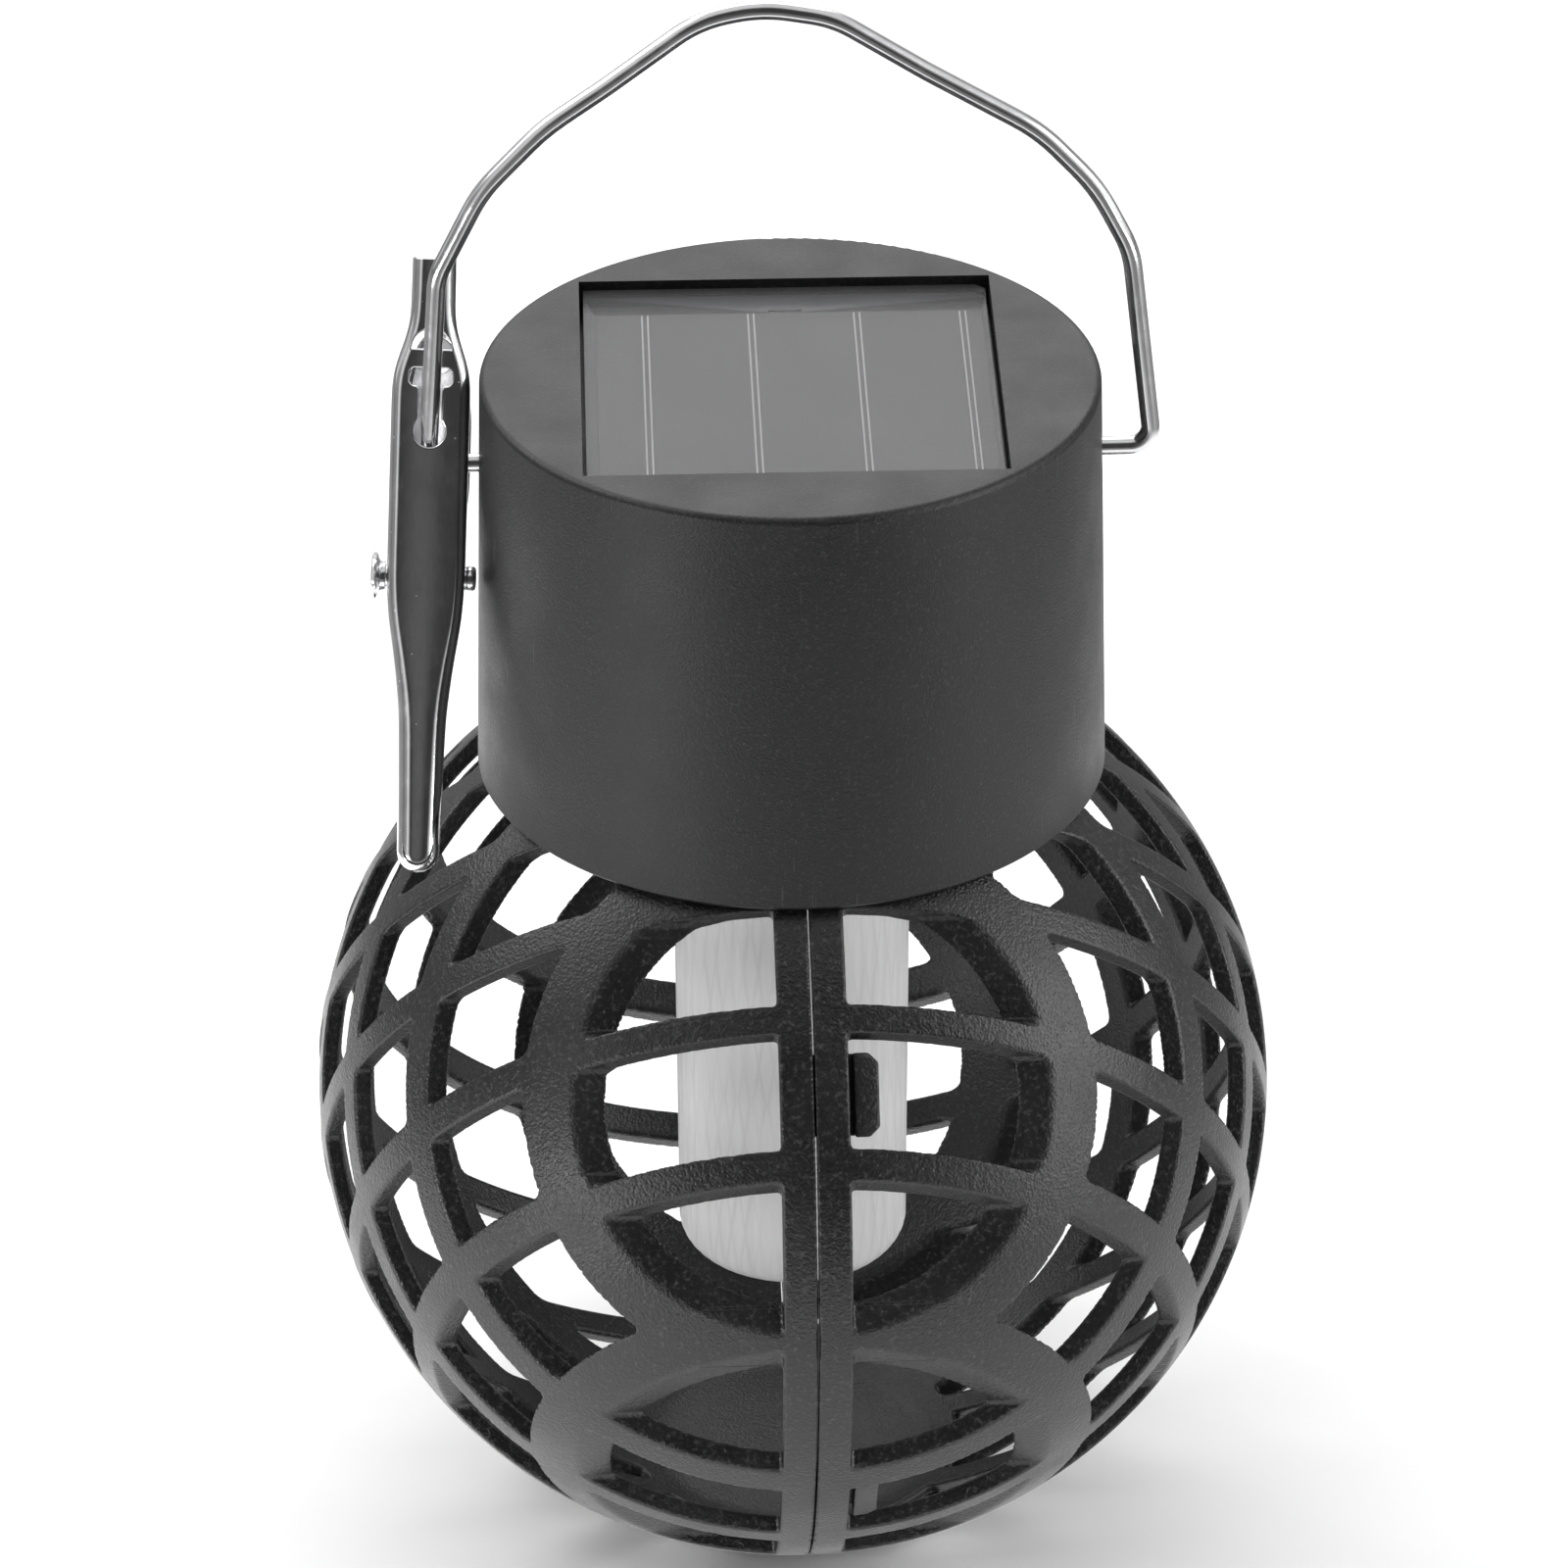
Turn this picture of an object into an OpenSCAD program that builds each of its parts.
// Hanging solar lantern: lattice globe in two moulded halves, lamp head with solar panel,
// diffuser tube, wire bail and a stamped spring clip hanging on the bail.
// Millimetres, +Z up, origin at the centre of the flat underside of the globe.
// Front is -Y, right is +X. The mould seam of the globe is the plane X = 0.

/* [Globe] */
// Outside radius of the lattice globe
globe_r = 55; // [50:0.5:60]
// Wall thickness of the globe shell
shell_t = 2; // [1.6:0.1:2.6]
// Height of the globe centre above the flat it stands on
globe_zc = 53; // [52.6:0.1:53.4]
// Angle of the lattice rib planes from level, measured at their normals
rib_angle = 29.3; // [27:0.1:33]
// Spacing of neighbouring ribs, as a fraction of the globe radius
rib_pitch = 0.2425; // [0.23:0.0005:0.25]
// Width of one lattice rib
rib_w = 3.35; // [2.8:0.05:4]
// Distance of the inner edge of each ring from the centre, as a fraction of the radius
ring_in = 0.877; // [0.87:0.001:0.89]
// Distance of the outer edge of each ring from the centre, as a fraction of the radius
ring_out = 0.812; // [0.8:0.001:0.82]
// Width of the seam band on each half
seam_w = 3.86; // [3:0.02:4.5]
// Gap between the two halves at the seam
seam_gap = 0.16; // [0.1:0.02:0.3]

/* [Cap] */
// Outside radius of the cap at its lower rim
cap_r_low = 35.5; // [35.2:0.1:36]
// Outside radius of the cap at its top edge
cap_r_top = 34.4; // [34.2:0.1:34.8]
// Height of the lower rim of the cap
cap_z0 = 96.8; // [96.7:0.05:97.2]
// Height of the top face of the cap
cap_z1 = 144.9; // [144.6:0.1:145.4]
// Radius rounding the top edge of the cap
cap_edge = 0.8; // [0.6:0.1:1]

/* [Solar panel] */
// Width of the panel recess across the lantern
recess_x = 46.3; // [45:0.1:46.6]
// Depth of the panel recess front to back
recess_y = 46.9; // [45:0.1:47]
// Depth of the recess below the top face
recess_d = 3.6; // [3.4:0.1:3.8]
// Clearance between the panel and the recess walls
panel_gap = 0.45; // [0.3:0.05:0.7]

/* [Diffuser] */
// Outside radius of the diffuser tube
tube_r = 13.6; // [12.4:0.1:13.6]
// Height of the closed lower end of the tube
tube_z0 = 32; // [26:0.5:40]
// Wall thickness of the tube
tube_t = 1.2; // [0.8:0.1:1.6]

/* [Bail] */
// Radius of the bail wire
wire_r = 1.05; // [0.9:0.05:1.1]
// Height of the bail pivot above the base
pivot_z = 134.8; // [134.4:0.1:135.2]
// Rise of the bail above its pivot
bail_rise = 54.3; // [53:0.1:56]

/* [Clip] */
// Forward lean of the hanging clip
clip_lean = 22; // [20:0.5:24]
// Sideways lean of the hanging clip
clip_tilt = 3.5; // [3:0.1:4]
// Turn of the hanging clip about its own length
clip_yaw = 5; // [3:0.5:6]
// Thickness of the stamped sheet
sheet_t = 0.5; // [0.4:0.05:0.6]

/* [Hidden] */
$fn = 96;
overlap = 0.01;                      // makes joined and cut faces pass each other

// Heights shared by several parts
deck_z = cap_z1 - recess_d;          // floor of the panel recess
deck_t = 2;
cavity_top = deck_z - deck_t;
plate_z0 = 102;                      // underside of the base plate
plate_t = 2;
plate_top = plate_z0 + plate_t;
pcb_z0 = 108.2;                      // underside of the circuit board
pcb_t = 1.2;
pcb_top = pcb_z0 + pcb_t;

// Places shared by several parts
boss_angles = [90, 210, 330];        // bosses that hold the base plate
boss_place_r = 28.2;
post_angles = [30, 150, 270];        // posts that hold the circuit board
post_place_r = 21.5;
lead_x = [-1.6, 1.6];                // the two panel leads
lead_y = 19;
panel_turn = -1.2;                   // the panel sits slightly turned in the cap

/* ---- helpers ---- */
module ring_wall(outer_r, inner_r, height) {
    difference() {
        cylinder(r = outer_r, h = height);
        translate([0, 0, -overlap]) cylinder(r = inner_r, h = height + 2*overlap);
    }
}

// copies at the given angles, on a circle about the lantern axis
module around(angles, place_r) {
    for (a = angles) rotate(a) translate([place_r, 0, 0]) children();
}
module at_bosses() { around(boss_angles, boss_place_r) children(); }
module at_posts() { around(post_angles, post_place_r) children(); }
module at_leads() { for (x = lead_x) translate([x, lead_y, 0]) children(); }

/* ---- globe, modelled about its own centre ---- */
globe_inner_r = globe_r - shell_t;
span = 4*globe_r;                    // cutting blocks this long clear the globe
ring_in_d = ring_in*globe_r;
ring_out_d = ring_out*globe_r;
pitch = rib_pitch*globe_r;
bar_w = rib_w - 0.35;                // narrower outer bars across the rings
top_cut_z = 44;                      // the ball ends here outside the neck
top_band_z = 43;
top_band_h = 2;
neck_r = 32.9;
neck_bore_r = 30.9;
neck_z = 42.2;
neck_h = 5.8;
neck_bore_z = 40;
foot_r = 20.5;
foot_top = -50.6;
foot_shell_r = 19.5;                 // shell left unpierced around the foot
latch_x = -3.4;
latch_h = 9.6;
latch_angle = 30;                    // above and below the equator

// Side view of the lattice: x runs to the back, y runs up.
// Strip with its centre line at a distance from the middle, normal at an angle
module strip(distance, width, angle) {
    rotate(angle) translate([distance, 0]) square([width, span], center = true);
}
// everything further than a distance along an angle
module beyond(distance, angle) {
    rotate(angle) translate([distance, -span/2]) square([span/2, span]);
}
module ribs(angle) {
    for (k = [0:2], side = [-1, 1]) strip(side*(k + 0.5)*pitch, rib_w, angle);
}
module ring_bars(angle) {
    strip(0.5*pitch, rib_w, angle);
    strip(1.5*pitch + 0.3, bar_w, angle);
    strip(2.5*pitch + 0.85, bar_w, angle);
}

module lattice_outline() {
    // [rib normal, direction of the upper ring that ends those ribs]
    for (pair = [[180 + rib_angle, 180 - rib_angle], [-rib_angle, rib_angle]]) {
        difference() {
            ribs(pair[0]);
            beyond(ring_in_d, pair[1]);
        }
        // bars across the upper ring
        intersection() {
            ring_bars(pair[0]);
            beyond(ring_in_d - 0.6, pair[1]);
        }
    }
    // the four rings, open where they meet their neighbours
    for (flip = [0, 180], angle = [rib_angle, -rib_angle]) difference() {
        rotate(flip) strip((ring_in_d + ring_out_d)/2, ring_in_d - ring_out_d, 180 - angle);
        beyond(ring_in_d, 180 + angle);
        beyond(ring_in_d, angle);
    }
}

module ball_shell(outer_r, inner_r) {
    difference() {
        sphere(r = outer_r);
        sphere(r = inner_r);
    }
}

// the half on the +X side
module globe_half() {
    difference() {
        union() {
            intersection() {
                ball_shell(globe_r, globe_inner_r);
                union() {
                    rotate([90, 0, 90]) linear_extrude(height = span/2) lattice_outline();
                    translate([0, -span/2, -span/2]) cube([seam_w, span, span]);
                    translate([0, -globe_r, top_band_z]) cube([globe_r, 2*globe_r, top_band_h]);
                    translate([0, 0, -globe_r - 1]) cylinder(r = foot_shell_r, h = 10);
                }
            }
            intersection() {
                sphere(r = globe_r);
                translate([0, 0, -globe_r]) cylinder(r = foot_r, h = globe_r + foot_top);
            }
            translate([0, 0, neck_z]) ring_wall(neck_r, neck_bore_r, neck_h);
        }
        // everything across the seam
        translate([-span/2 + seam_gap/2, -span/2, -span/2]) cube([span/2, span, span]);
        // top of the ball outside the neck
        translate([-span/2, -span/2, top_cut_z]) difference() {
            cube([span, span, globe_r]);
            translate([span/2, span/2, -1]) cylinder(r = neck_r, h = globe_r);
        }
        // below the flat underside
        translate([-span/2, -span/2, -span/2 - globe_zc]) cube([span, span, span/2]);
        translate([0, 0, neck_bore_z]) cylinder(r = neck_bore_r, h = globe_r);
    }
}

// block of shell at the front of the seam, raised by an angle
module latch_block(outer_r, inner_r, x, width, angle) {
    intersection() {
        ball_shell(outer_r, inner_r);
        rotate([-angle, 0, 0]) translate([x, -globe_r - 1, -latch_h/2])
            cube([width, 12, latch_h]);
    }
}
// snap tongue fixed to the left half, reaching under the band of the right half
module latch(angle) {
    latch_block(globe_inner_r - 0.2, globe_inner_r - 1.5, latch_x, 10.6, angle);
    // root on the left half
    latch_block(globe_inner_r + 0.4, globe_inner_r - 1.4, latch_x, 3.1, angle);
    // hook past the right band
    latch_block(globe_r - 0.9, globe_inner_r - 1.4, seam_w + 0.5, 2.84, angle);
}
module latch_pair() {
    latch(latch_angle);
    latch(-latch_angle);
}

module globe_half_right() { color("#3a3b3d") translate([0, 0, globe_zc]) globe_half(); }

module globe_half_left() {
    color("#3a3b3d") translate([0, 0, globe_zc]) {
        mirror([1, 0, 0]) globe_half();
        latch_pair();
        mirror([0, 1, 0]) latch_pair();
    }
}

/* ---- cap ---- */
cap_bore_r = cap_r_low - 2.2;
cap_chamfer = 0.5;                   // at the lower rim
boss_r = 2.6;
boss_hole_r = 0.95;
pivot_boss_r = 3.2;
lead_hole_r = 3.2;

module cap_outer() {
    shoulder_z = cap_z1 - cap_edge;
    shoulder_r = cap_r_top - cap_edge;
    rotate_extrude() polygon([
        [0, cap_z0], [cap_r_low - cap_chamfer, cap_z0], [cap_r_low, cap_z0 + cap_chamfer],
        [cap_r_top, shoulder_z], [0, shoulder_z]]);
    translate([0, 0, shoulder_z - overlap]) cylinder(r = shoulder_r, h = cap_edge + overlap);
    // rounded top edge
    translate([0, 0, shoulder_z]) rotate_extrude() intersection() {
        translate([shoulder_r, 0]) circle(r = cap_edge, $fn = 32);
        square([cap_r_top + 1, cap_edge + 1]);
    }
}

module cap_shell() {
    color("#343537") difference() {
        union() {
            difference() {
                cap_outer();
                translate([0, 0, cap_z0 - 1])
                    cylinder(r1 = cap_bore_r + 0.02, r2 = cap_bore_r - 0.9,
                        h = cavity_top - cap_z0 + 1);
            }
            translate([0, 0, plate_top]) at_bosses()
                cylinder(r = boss_r, h = cavity_top - plate_top + overlap);
            for (side = [-1, 1]) translate([side*(cap_r_top - 2.6), 0, pivot_z])
                rotate([0, side*90, 0]) translate([0, 0, -3.4]) cylinder(r = pivot_boss_r, h = 4.2);
        }
        rotate(panel_turn) translate([-recess_x/2, -recess_y/2, deck_z])
            cube([recess_x, recess_y, recess_d + 1]);
        // bail pivot holes
        for (side = [-1, 1]) translate([0, 0, pivot_z]) rotate([0, side*90, 0])
            translate([0, 0, 25]) cylinder(r = wire_r + 0.07, h = 20, $fn = 32);
        translate([0, 0, plate_top - 1]) at_bosses() cylinder(r = boss_hole_r, h = 11, $fn = 24);
        rotate(panel_turn) translate([0, lead_y, cavity_top - 1])
            cylinder(r = lead_hole_r, h = deck_t + 2, $fn = 32);
    }
}

/* ---- solar panel ---- */
panel_x = recess_x - 2*panel_gap;
panel_y = recess_y - 2*panel_gap;
tape_inset = 0.6;
tape_w = 3;
tape_t = 0.5;
board_z = deck_z + tape_t;
board_t = 1.2;
board_nip = 1.1;                     // corner cut off at the back right
cell_z = board_z + board_t;
cell_t = 0.2;
cover_t = 1;
busbar_x = [-15.8, -3.9, 8.0, 19.9]; // middle of each pair of busbars
busbar_spacing = 0.65;
busbar_w = 0.2;
busbar_t = 0.08;
lead_r = 0.65;
lead_core_r = 0.25;

module panel_tape() {
    inner = tape_inset + tape_w;
    color("#1c1c1c") rotate(panel_turn) translate([0, 0, deck_z]) difference() {
        translate([-panel_x/2 + tape_inset, -panel_y/2 + tape_inset, 0])
            cube([panel_x - 2*tape_inset, panel_y - 2*tape_inset, tape_t]);
        translate([-panel_x/2 + inner, -panel_y/2 + inner, -1])
            cube([panel_x - 2*inner, panel_y - 2*inner, 3]);
    }
}
module board_outline(inset) {
    right = panel_x/2;
    back = panel_y/2;
    polygon([[-right + inset, -back + inset], [right - inset, -back + inset],
        [right - inset, back - board_nip], [right - board_nip, back - inset],
        [-right + inset, back - inset]]);
}
module cell_outline(grow) {
    translate([-panel_x/2 + 1.4 - grow, -panel_y/2 + 0.8 - grow])
        square([panel_x - 2.0 + 2*grow, panel_y - 5.6 + 2*grow]);
}
module busbars(height, grow) {
    for (x = busbar_x, side = [-0.5, 0.5])
        translate([x + side*busbar_spacing - busbar_w/2 - grow, -panel_y/2 + 1.3 - grow, 0])
            cube([busbar_w + 2*grow, panel_y - 6.4 + 2*grow, height]);
}
module panel_board() {
    color("#24282b") rotate(panel_turn) translate([0, 0, board_z]) difference() {
        linear_extrude(height = board_t) board_outline(0);
        translate([0, 0, -1]) at_leads() cylinder(r = 0.32, h = 4, $fn = 24);
    }
}
module solar_cell() {
    color("#6d7276") rotate(panel_turn) translate([0, 0, cell_z])
        linear_extrude(height = cell_t) cell_outline(0);
}
module cell_busbars() {
    color("#cfd2d4") rotate(panel_turn) translate([0, 0, cell_z + cell_t]) busbars(busbar_t, 0);
}
// room in the cover for the cell and its busbars
module cell_void() {
    translate([0, 0, cell_z - 0.1]) linear_extrude(height = cell_t + 0.11) cell_outline(0.01);
    translate([0, 0, cell_z + 0.1]) busbars(0.19, 0.01);
}
module panel_cover() {
    color("#9aa0a4") difference() {
        rotate(panel_turn) translate([0, 0, cell_z])
            linear_extrude(height = cover_t) board_outline(0.02);
        rotate(panel_turn) cell_void();
    }
}
module panel_leads() {
    color("#8a1f1b") rotate(panel_turn) at_leads() {
        translate([0, 0, pcb_top]) cylinder(r = lead_r, h = deck_z - 0.6 - pcb_top, $fn = 24);
        // bare ends through the two boards
        translate([0, 0, pcb_z0 - 0.8]) cylinder(r = lead_core_r, h = 4, $fn = 24);
        translate([0, 0, deck_z - 2]) cylinder(r = lead_core_r, h = 3.6, $fn = 24);
    }
}

/* ---- base plate and circuit board ---- */
plate_r = 32.2;
plate_bore_r = tube_r + 0.12;
collar_h = 3;                        // collar under the plate, around the tube
post_r = 2.2;
pcb_r = 24.4;
parts_z = pcb_top + 0.02;
// boxes on the board: [corner, size]
part_boxes = [
    [[-14, 12.5, 0], [5, 4, 1.5]],
    [[-6.5, 12.6, 0], [1.6, 0.8, 0.5]],
    [[-6.5, 14.4, 0], [1.6, 0.8, 0.5]],
    [[12.2, 12.6, 0], [2.2, 1.3, 0.6]]];
led_r = 2.5;
led_h = 3.6;                         // up to the start of the dome

module base_plate() {
    color("#2f3032") difference() {
        union() {
            translate([0, 0, plate_z0]) cylinder(r = plate_r, h = plate_t);
            translate([0, 0, plate_z0 - collar_h])
                ring_wall(tube_r + 1.9, plate_bore_r, collar_h + overlap);
            translate([0, 0, plate_top - overlap]) at_posts()
                cylinder(r = post_r, h = pcb_z0 - plate_top + overlap);
        }
        translate([0, 0, plate_z0 - 1]) {
            cylinder(r = plate_bore_r, h = plate_t + 2);
            // screw holes and the pockets for their heads
            at_bosses() cylinder(r = 1.25, h = plate_t + 2, $fn = 24);
            at_bosses() cylinder(r = 2.3, h = 2, $fn = 32);
            // switch slot
            translate([19.4, -4.2, 0]) cube([2.6, 8.4, plate_t + 2]);
        }
        translate([0, 0, pcb_z0 - 3]) at_posts() cylinder(r = 0.85, h = 4, $fn = 24);
    }
}
// cross-slotted screw, head down
module screw(head_r, shank_r, shank_len) {
    head_h = 1;
    slot_w = 0.44;
    difference() {
        union() {
            cylinder(r = head_r, h = head_h, $fn = 32);
            translate([0, 0, head_h - overlap]) cylinder(r = shank_r, h = shank_len, $fn = 24);
        }
        for (a = [0, 90]) rotate(a) translate([-head_r*0.62, -slot_w/2, -1])
            cube([head_r*1.24, slot_w, 1.55]);
    }
}
module base_screws() {
    color("#b9bbbd") {
        translate([0, 0, plate_z0 - 0.05]) at_bosses()
            screw(head_r = 2.05, shank_r = 0.92, shank_len = 8.5);
        translate([0, 0, pcb_top + 1.05]) at_posts() mirror([0, 0, 1])
            screw(head_r = 1.8, shank_r = 0.83, shank_len = 3.4);
    }
}
module circuit_board() {
    color("#1f5a35") translate([0, 0, pcb_z0]) difference() {
        cylinder(r = pcb_r, h = pcb_t);
        translate([0, 0, -1]) at_posts() cylinder(r = 0.95, h = 4, $fn = 24);
        rotate(panel_turn) translate([0, 0, -1]) at_leads() cylinder(r = 0.3, h = 4, $fn = 24);
    }
}
module board_parts() {
    color("#202122") translate([0, 0, parts_z]) {
        for (part = part_boxes) translate(part[0]) cube(part[1]);
        translate([7, 13.5, 0]) cylinder(r = 2.1, h = 4.2, $fn = 32);
    }
}
// three domed LEDs pointing down
module leds() {
    color("#f2efe2") translate([0, 0, pcb_z0 - 0.02]) mirror([0, 0, 1]) around([0, 120, 240], 6) {
        cylinder(r = led_r + 0.4, h = 1, $fn = 32);
        cylinder(r = led_r, h = led_h, $fn = 32);
        translate([0, 0, led_h]) sphere(r = led_r, $fn = 32);
    }
}

/* ---- battery, lying across the lantern ---- */
battery_y = -2;                      // a little to the front of the middle
battery_r = 7.1;
battery_len = 48;
holder_z = pcb_top + 0.05;
holder_size = [56, 18, 11.5];
holder_wall = 1.4;
contact_size = [0.4, 10, 12];

module battery_holder() {
    color("#262729") translate([0, battery_y, holder_z]) difference() {
        translate([-holder_size[0]/2, -holder_size[1]/2, 0]) cube(holder_size);
        translate([-holder_size[0]/2 + holder_wall, -holder_size[1]/2 + holder_wall, 1.2])
            cube([holder_size[0] - 2*holder_wall, holder_size[1] - 2*holder_wall, 20]);
        // long walls cut lower between the ends
        translate([-20, -10, 8]) cube([40, 20, 10]);
    }
}
module battery_cell() {
    color("#3f6f4a") translate([-24.2, battery_y, holder_z + 1.25 + battery_r])
        rotate([0, 90, 0]) {
            cylinder(r = battery_r, h = battery_len);
            translate([0, 0, battery_len - overlap]) cylinder(r = 2.7, h = 1.2, $fn = 32);
        }
}
module battery_contacts() {
    color("#c4c7c9") translate([0, battery_y, holder_z + 1.3]) {
        for (x = [25.1, -26.5]) translate([x, -contact_size[1]/2, 0]) cube(contact_size);
        // tapering coils at the left end
        for (i = [0:2]) translate([-25.75 + i*0.58, 0, battery_r]) rotate([0, 90, 0])
            rotate_extrude() translate([3 - i*0.5, 0]) circle(r = 0.36, $fn = 20);
    }
}

/* ---- switch ---- */
slider_x = 2;
slider_y = 2.4;

module switch_body() {
    color("#1b1c1d") difference() {
        translate([18.2, -5.2, plate_top + 0.1]) cube([5, 10.4, pcb_z0 - plate_top - 0.15]);
        translate([19.5, -3.4, plate_top - 1]) cube([2.4, 6.8, 3.4]);
    }
}
module switch_slider() {
    color("#d9d9d6") translate([19.7, -3.2, 0]) {
        translate([0, 0, plate_z0 - 1.6]) cube([slider_x, slider_y, 4.9]);
        translate([0, 0, plate_top + 0.3]) cube([slider_x, slider_y, 1.6]);
    }
}

/* ---- diffuser ---- */
tube_round = 3;                      // rounding of the lower end
tube_low_r = tube_r - 0.3;           // the tube narrows downwards
flange_r = tube_r + 1.6;
flange_top = plate_top + 1.2;        // the flange rests on the base plate

module diffuser_tube() {
    end_r = tube_low_r - tube_round;
    round_z = tube_z0 + tube_round;
    bore_r = tube_r - tube_t;
    color("#e9e8e3") {
        difference() {
            rotate_extrude() {
                polygon([[0, tube_z0], [end_r, tube_z0], [end_r, round_z],
                    [tube_low_r, round_z], [tube_r, plate_z0 - 4],
                    [tube_r, plate_top + overlap], [flange_r, plate_top + overlap],
                    [flange_r, flange_top], [0, flange_top]]);
                translate([end_r, round_z]) circle(r = tube_round, $fn = 32);
            }
            translate([0, 0, tube_z0 + tube_t]) cylinder(r = bore_r - 2.4, h = 4);
            translate([0, 0, tube_z0 + tube_t + 2])
                cylinder(r1 = bore_r - 0.35, r2 = bore_r - 0.05, h = 120);
        }
    }
}
// notched ring lying on the flange
module tube_ring() {
    color("#2a2b2d") translate([0, 0, flange_top + 0.05]) difference() {
        ring_wall(17.6, 14.2, 1.4);
        around([60, 180, 300], 16.4) translate([0, -1, -1]) cube([3, 2, 4]);
    }
}

/* ---- bail ---- */
// corners of the wire's centre line, right side first: [x, height above pivot, bend radius]
bail_line = [
    [30.2, 0, 0], [40.3, 0, 2.3], [37.5, 24.1, 12.9], [33.5, 32, 22], [27.2, 38.9, 20.9],
    [14.9, 46.3, 60], [4.8, 52.85, 12.3], [-3, 54.3, 15.8], [-9.8, 52.95, 13.3],
    [-20, 45.3, 50], [-26.7, 40.6, 25], [-33.7, 33.2, 17.4], [-38.7, 23.1, 8.1],
    [-40.3, 0, 2.3], [-30.2, 0, 0]];
bail_line_rise = 54.3;               // highest point in the table
bail_pts = [for (p = bail_line) [p[0], pivot_z + p[1]*bail_rise/bail_line_rise]];
bail_last = len(bail_pts) - 1;
bail_lap = 0.15;                     // straights run this far into the bends

function unit(v) = v / norm(v);
// direction of the straight that starts at corner i
function heading(i) = unit(bail_pts[i+1] - bail_pts[i]);
// signed angle of the bend at corner i
function turn(i) = let (a = heading(i-1), b = heading(i)) atan2(a[0]*b[1] - a[1]*b[0], a*b);
// length of straight taken up by the bend on each side of corner i
function setback(i) = (i == 0 || i == bail_last) ? 0 : bail_line[i][2]*tan(abs(turn(i))/2);

module bail_straight(i) {
    dir = heading(i);
    start = bail_pts[i] + dir*setback(i);
    end = bail_pts[i+1] - dir*setback(i+1);
    translate([start[0] - dir[0]*bail_lap, 0, start[1] - dir[1]*bail_lap])
        rotate([0, atan2(dir[0], dir[1]), 0])
            cylinder(r = wire_r, h = norm(end - start) + 2*bail_lap, $fn = 32);
}
module bail_bend(i) {
    dir = heading(i-1);
    bend = turn(i);
    bend_r = bail_line[i][2];
    side = bend > 0 ? 1 : -1;
    centre = bail_pts[i] - dir*setback(i) + side*bend_r*[-dir[1], dir[0]];
    // angle of the arc's first end, seen in the XZ plane
    first = atan2(-side*dir[0], side*dir[1]);
    translate([centre[0], 0, centre[1]]) rotate([90, 0, 0])
        rotate([0, 0, side > 0 ? first : first - abs(bend)])
            rotate_extrude(angle = abs(bend), $fn = 128)
                translate([bend_r, 0]) circle(r = wire_r + 0.02, $fn = 32);
}
module bail_handle() {
    color("#c9cbcc") union() {
        for (i = [0:bail_last-1]) bail_straight(i);
        for (i = [1:bail_last-1]) bail_bend(i);
    }
}

/* ---- clip ---- */
clip_x = -39.85;
clip_z = pivot_z + 7.0;              // where the bail leg passes through the front plate
rivet_y = 3.4;
rivet_z = -19.2;
rivet_hole_r = 1.3;
jaw_half_w = 4.3;
jaw_tip_r = 2.4;
jaw_tip_z = -49.7;
ear_r = 3;
// right edge of the front plate from the tip up: [x, z]
jaw_edge = [[jaw_tip_r, jaw_tip_z], [2.7, -34.7], [3.5, -27], [jaw_half_w, -23],
    [jaw_half_w, 3.9], [2.45, 9.7], [2.45, 16.1]];
rear_y = 3;                          // rear plate behind the rivet axis
rear_low = 10.2;                     // slope of its lower arm
rear_up = 15;                        // slope of its upper arm
// right edges of the two arms from the bottom up: [x, z]
lower_edge = [[1.75, -30.6], [1.9, -16], [3.5, -4], [3.5, 0.1]];
upper_edge = [[3.5, -0.1], [3.5, 20], [2.5, 25]];
cheek_r = 2.6;
cheek_half_w = 3.7;
coil_wire_r = 0.42;

// local frame: origin where the bail crosses the front plate, X across, Y back, Z up the clip
module clip_frame() {
    translate([clip_x, 0, clip_z]) rotate([-clip_lean, clip_tilt, 0])
        rotate([0, 0, -clip_yaw]) children();
}
module rivet_frame() { clip_frame() translate([0, rivet_y, rivet_z]) children(); }
module rivet_hole() {
    translate([-6, 0, 0]) rotate([0, 90, 0]) cylinder(r = rivet_hole_r, h = 12, $fn = 32);
}
// upright sheet from an outline in X and Z
module sheet() {
    rotate([90, 0, 0]) linear_extrude(height = sheet_t, center = true) children();
}
// left face of a side sheet whose outer face is at half_w
function side_x(side, half_w) = side*(half_w - sheet_t/2) - sheet_t/2;
// closes a right edge with its mirror image
function both_sides(edge) =
    concat(edge, [for (i = [len(edge)-1:-1:0]) [-edge[i][0], edge[i][1]]]);

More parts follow.
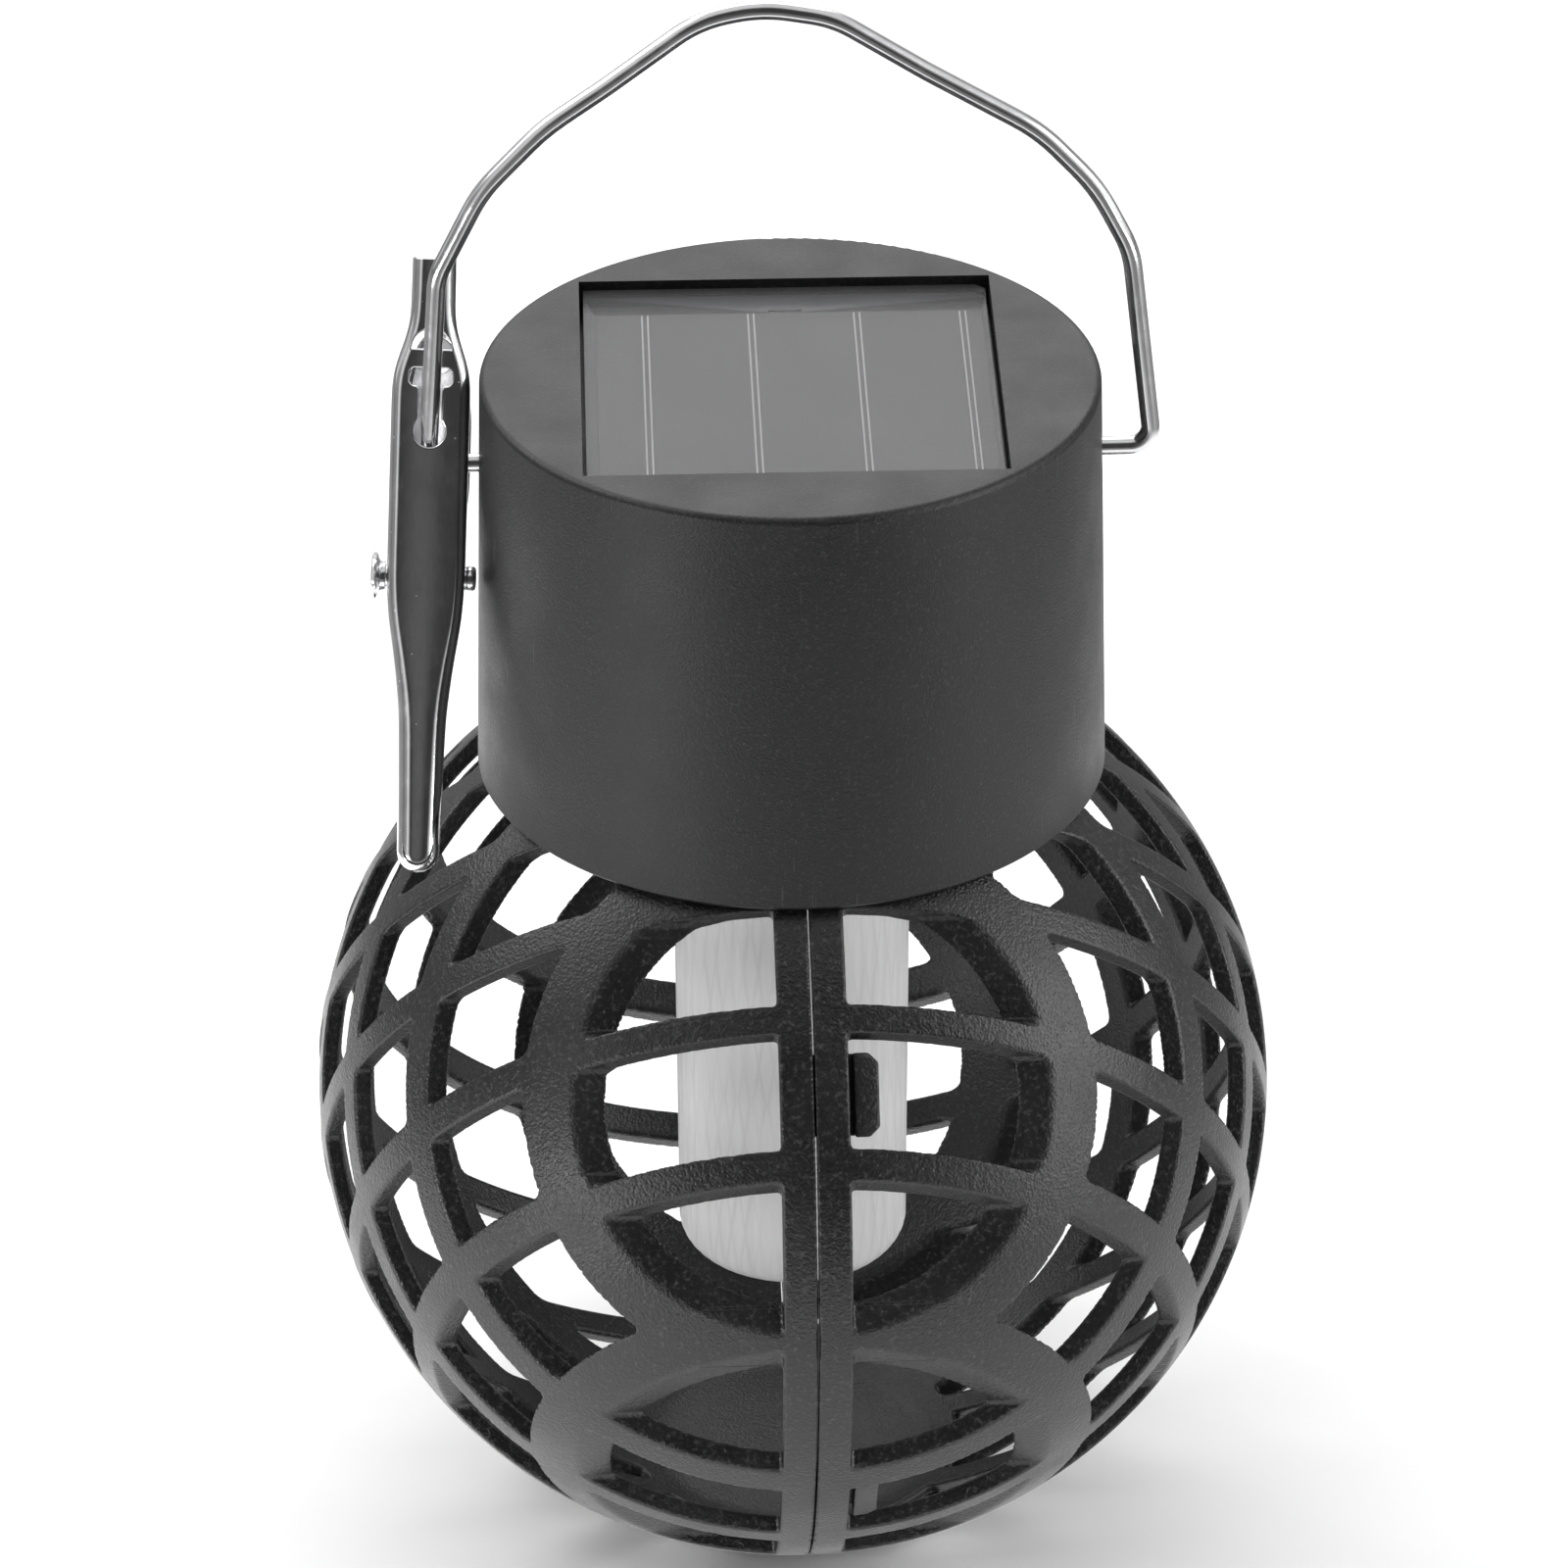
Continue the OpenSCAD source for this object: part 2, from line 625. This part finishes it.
module front_outline(inset) {
    polygon(both_sides(concat([for (p = jaw_edge) [p[0] - inset, p[1]]],
        [[2 - inset, 16.55 - inset]])));
    translate([0, jaw_tip_z]) circle(r = jaw_tip_r - inset, $fn = 48);
}
module clip_front_jaw() {
    color("#c3c6c8") clip_frame() difference() {
        union() {
            sheet() difference() {
                front_outline(0);
                // half-round hole near the top
                intersection() {
                    translate([0, 6.5]) circle(r = 2.2, $fn = 40);
                    translate([-3, 6.5]) square([6, 4]);
                }
                // T-shaped slot with a round lower end
                translate([-2.4, 2.7]) square([4.8, 1.65]);
                translate([-1.3, -2.6]) square([2.6, 6]);
                translate([0, -2.6]) circle(r = 1.75, $fn = 40);
            }
            // rim turned to the back, open at the top
            translate([0, 1.1, 0]) rotate([90, 0, 0]) linear_extrude(height = 1.1) difference() {
                front_outline(0);
                front_outline(sheet_t);
                translate([-1.9, 14]) square([3.8, 4]);
            }
            // ears for the rivet
            for (side = [-1, 1]) translate([side_x(side, jaw_half_w), 0, rivet_z]) {
                translate([0, 0, -ear_r]) cube([sheet_t, rivet_y, 2*ear_r]);
                translate([0, rivet_y, 0]) rotate([0, 90, 0])
                    cylinder(r = ear_r, h = sheet_t, $fn = 48);
            }
        }
        translate([0, rivet_y, rivet_z]) rivet_hole();
    }
}
module clip_rear_jaw() {
    color("#b5b8ba") rivet_frame() difference() {
        union() {
            // lower arm closes on the front plate at the tip
            translate([0, rear_y, 0]) rotate([-rear_low, 0, 0]) sheet() {
                polygon(both_sides(lower_edge));
                translate([0, -30.6]) circle(r = 1.75, $fn = 40);
            }
            // upper arm leans away from the front plate
            translate([0, rear_y, 0]) rotate([-rear_up, 0, 0]) sheet() difference() {
                union() {
                    polygon(both_sides(upper_edge));
                    translate([0, 25]) circle(r = 2.5, $fn = 40);
                }
                translate([0, 24]) circle(r = 1.3, $fn = 32);
            }
            // cheeks for the rivet
            for (side = [-1, 1]) translate([side_x(side, cheek_half_w), 0, 0])
                rotate([90, 0, 90]) linear_extrude(height = sheet_t) {
                    polygon([[0, -cheek_r], [rear_y - cheek_r*tan(rear_low), -cheek_r],
                        [rear_y, 0], [rear_y + cheek_r*tan(rear_up), cheek_r], [0, cheek_r]]);
                    circle(r = cheek_r, $fn = 48);
                }
            // rib along the bend
            translate([-3.6, 2.6, -0.9]) cube([7.2, 0.8, 1.8]);
        }
        rivet_hole();
    }
}
module clip_rivet() {
    color("#aeb1b3") rivet_frame() rotate([0, 90, 0]) difference() {
        union() {
            translate([0, 0, -5]) cylinder(r = 1.24, h = 9.9, $fn = 32);
            translate([0, 0, -6]) cylinder(r1 = 2.7, r2 = 1.9, h = 1.5, $fn = 40);
            translate([0, 0, 4.46]) cylinder(r = 1.9, h = 0.35, $fn = 40);
        }
        translate([0, 0, -7]) cylinder(r1 = 1.5, r2 = 0.8, h = 4, $fn = 32);
    }
}
// five coils around the rivet, one leg down the front plate, one up the rear plate
module clip_spring() {
    color("#9b9ea0") rivet_frame() {
        for (i = [0:4]) translate([-1.7 + i*0.84, 0, 0]) rotate([0, 90, 0])
            rotate_extrude($fn = 36) translate([1.95, 0]) circle(r = 0.45, $fn = 16);
        translate([-2.0, -1.95, -7]) cylinder(r = coil_wire_r, h = 7, $fn = 24);
        translate([2.0, 1.85, 0]) rotate([-4, 0, 0]) cylinder(r = coil_wire_r, h = 7, $fn = 24);
    }
}

cap_shell();
panel_tape();
panel_board();
solar_cell();
cell_busbars();
panel_cover();
panel_leads();
base_plate();
base_screws();
circuit_board();
board_parts();
leds();
battery_holder();
battery_cell();
battery_contacts();
switch_body();
switch_slider();
diffuser_tube();
tube_ring();
bail_handle();
clip_front_jaw();
clip_rear_jaw();
clip_rivet();
clip_spring();
globe_half_left();
globe_half_right();
